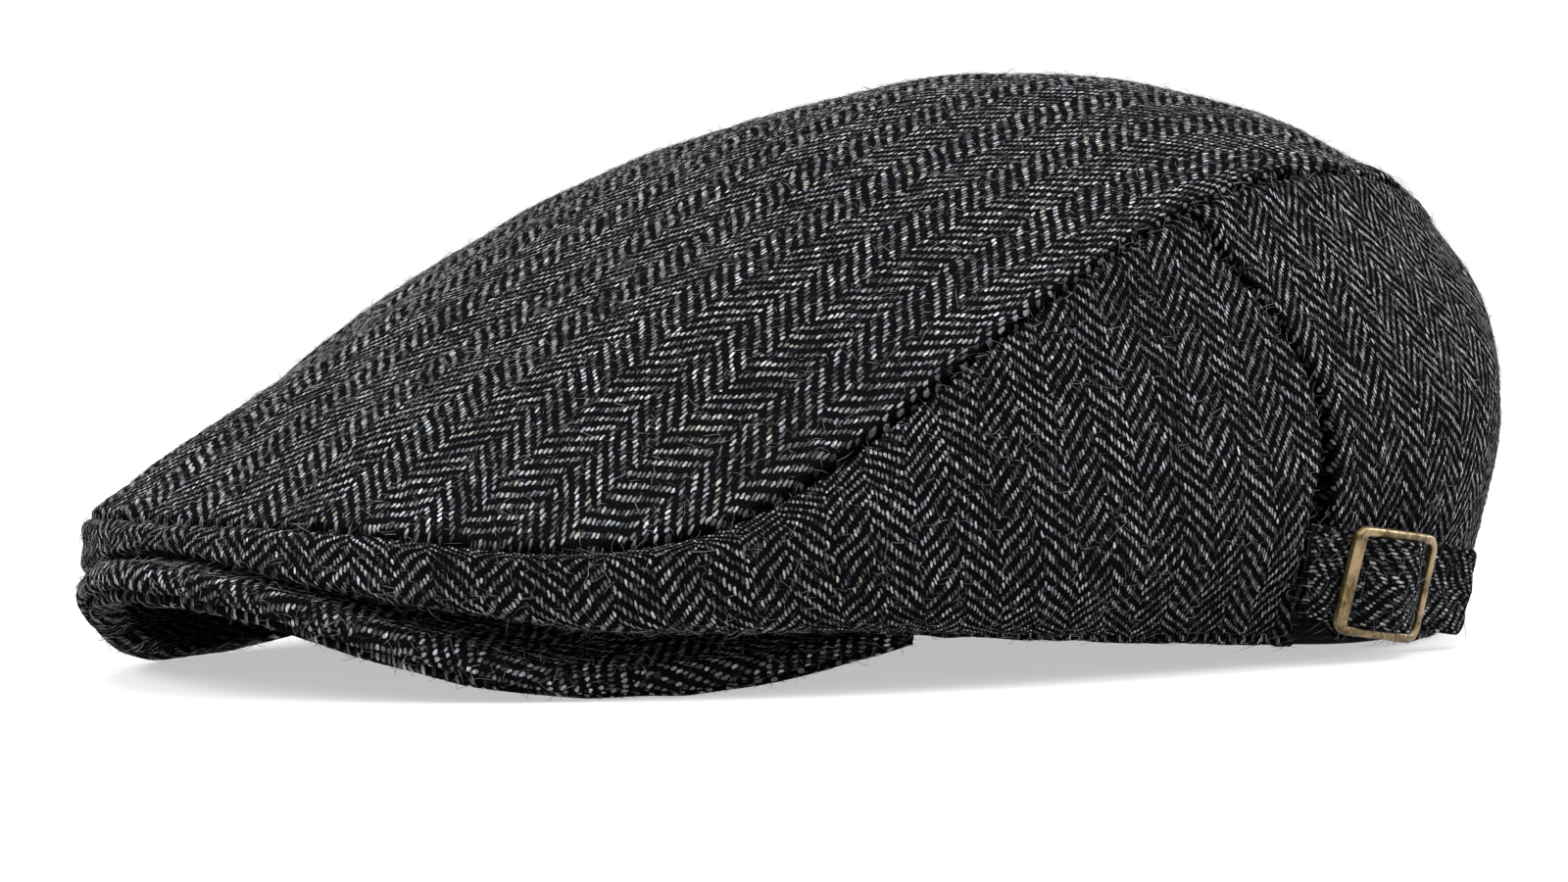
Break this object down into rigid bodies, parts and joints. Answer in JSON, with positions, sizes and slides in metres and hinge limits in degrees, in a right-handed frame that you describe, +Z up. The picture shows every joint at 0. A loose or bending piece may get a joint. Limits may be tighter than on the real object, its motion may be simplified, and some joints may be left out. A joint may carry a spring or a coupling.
{
  "type": "flat cap",
  "caption": "Tweed flat cap with a domed top panel, turned-under sides, curved peak and a buckled adjusting strap at the left rear.",
  "frame": {"origin": "middle of the cap's footprint, on the plane it rests on", "axes": "+Z up, the peak points along -Y, the wearer's left (strap side) is +X"},
  "size_m": [0.2056, 0.2652, 0.099],
  "materials": {
    "tweed": "charcoal and grey herringbone wool tweed, matt and slightly hairy",
    "antique_brass": "satin antique brass",
    "black_tape": "plain black woven tape"
  },
  "bodies": {
    "root": {"crown_top": "tweed", "side_band": "tweed", "back_panel": "tweed", "peak": "tweed", "strap": "tweed", "buckle": "antique_brass", "buckle_tab": "black_tape", "sweatband": "black_tape"}
  },
  "joints": []
}
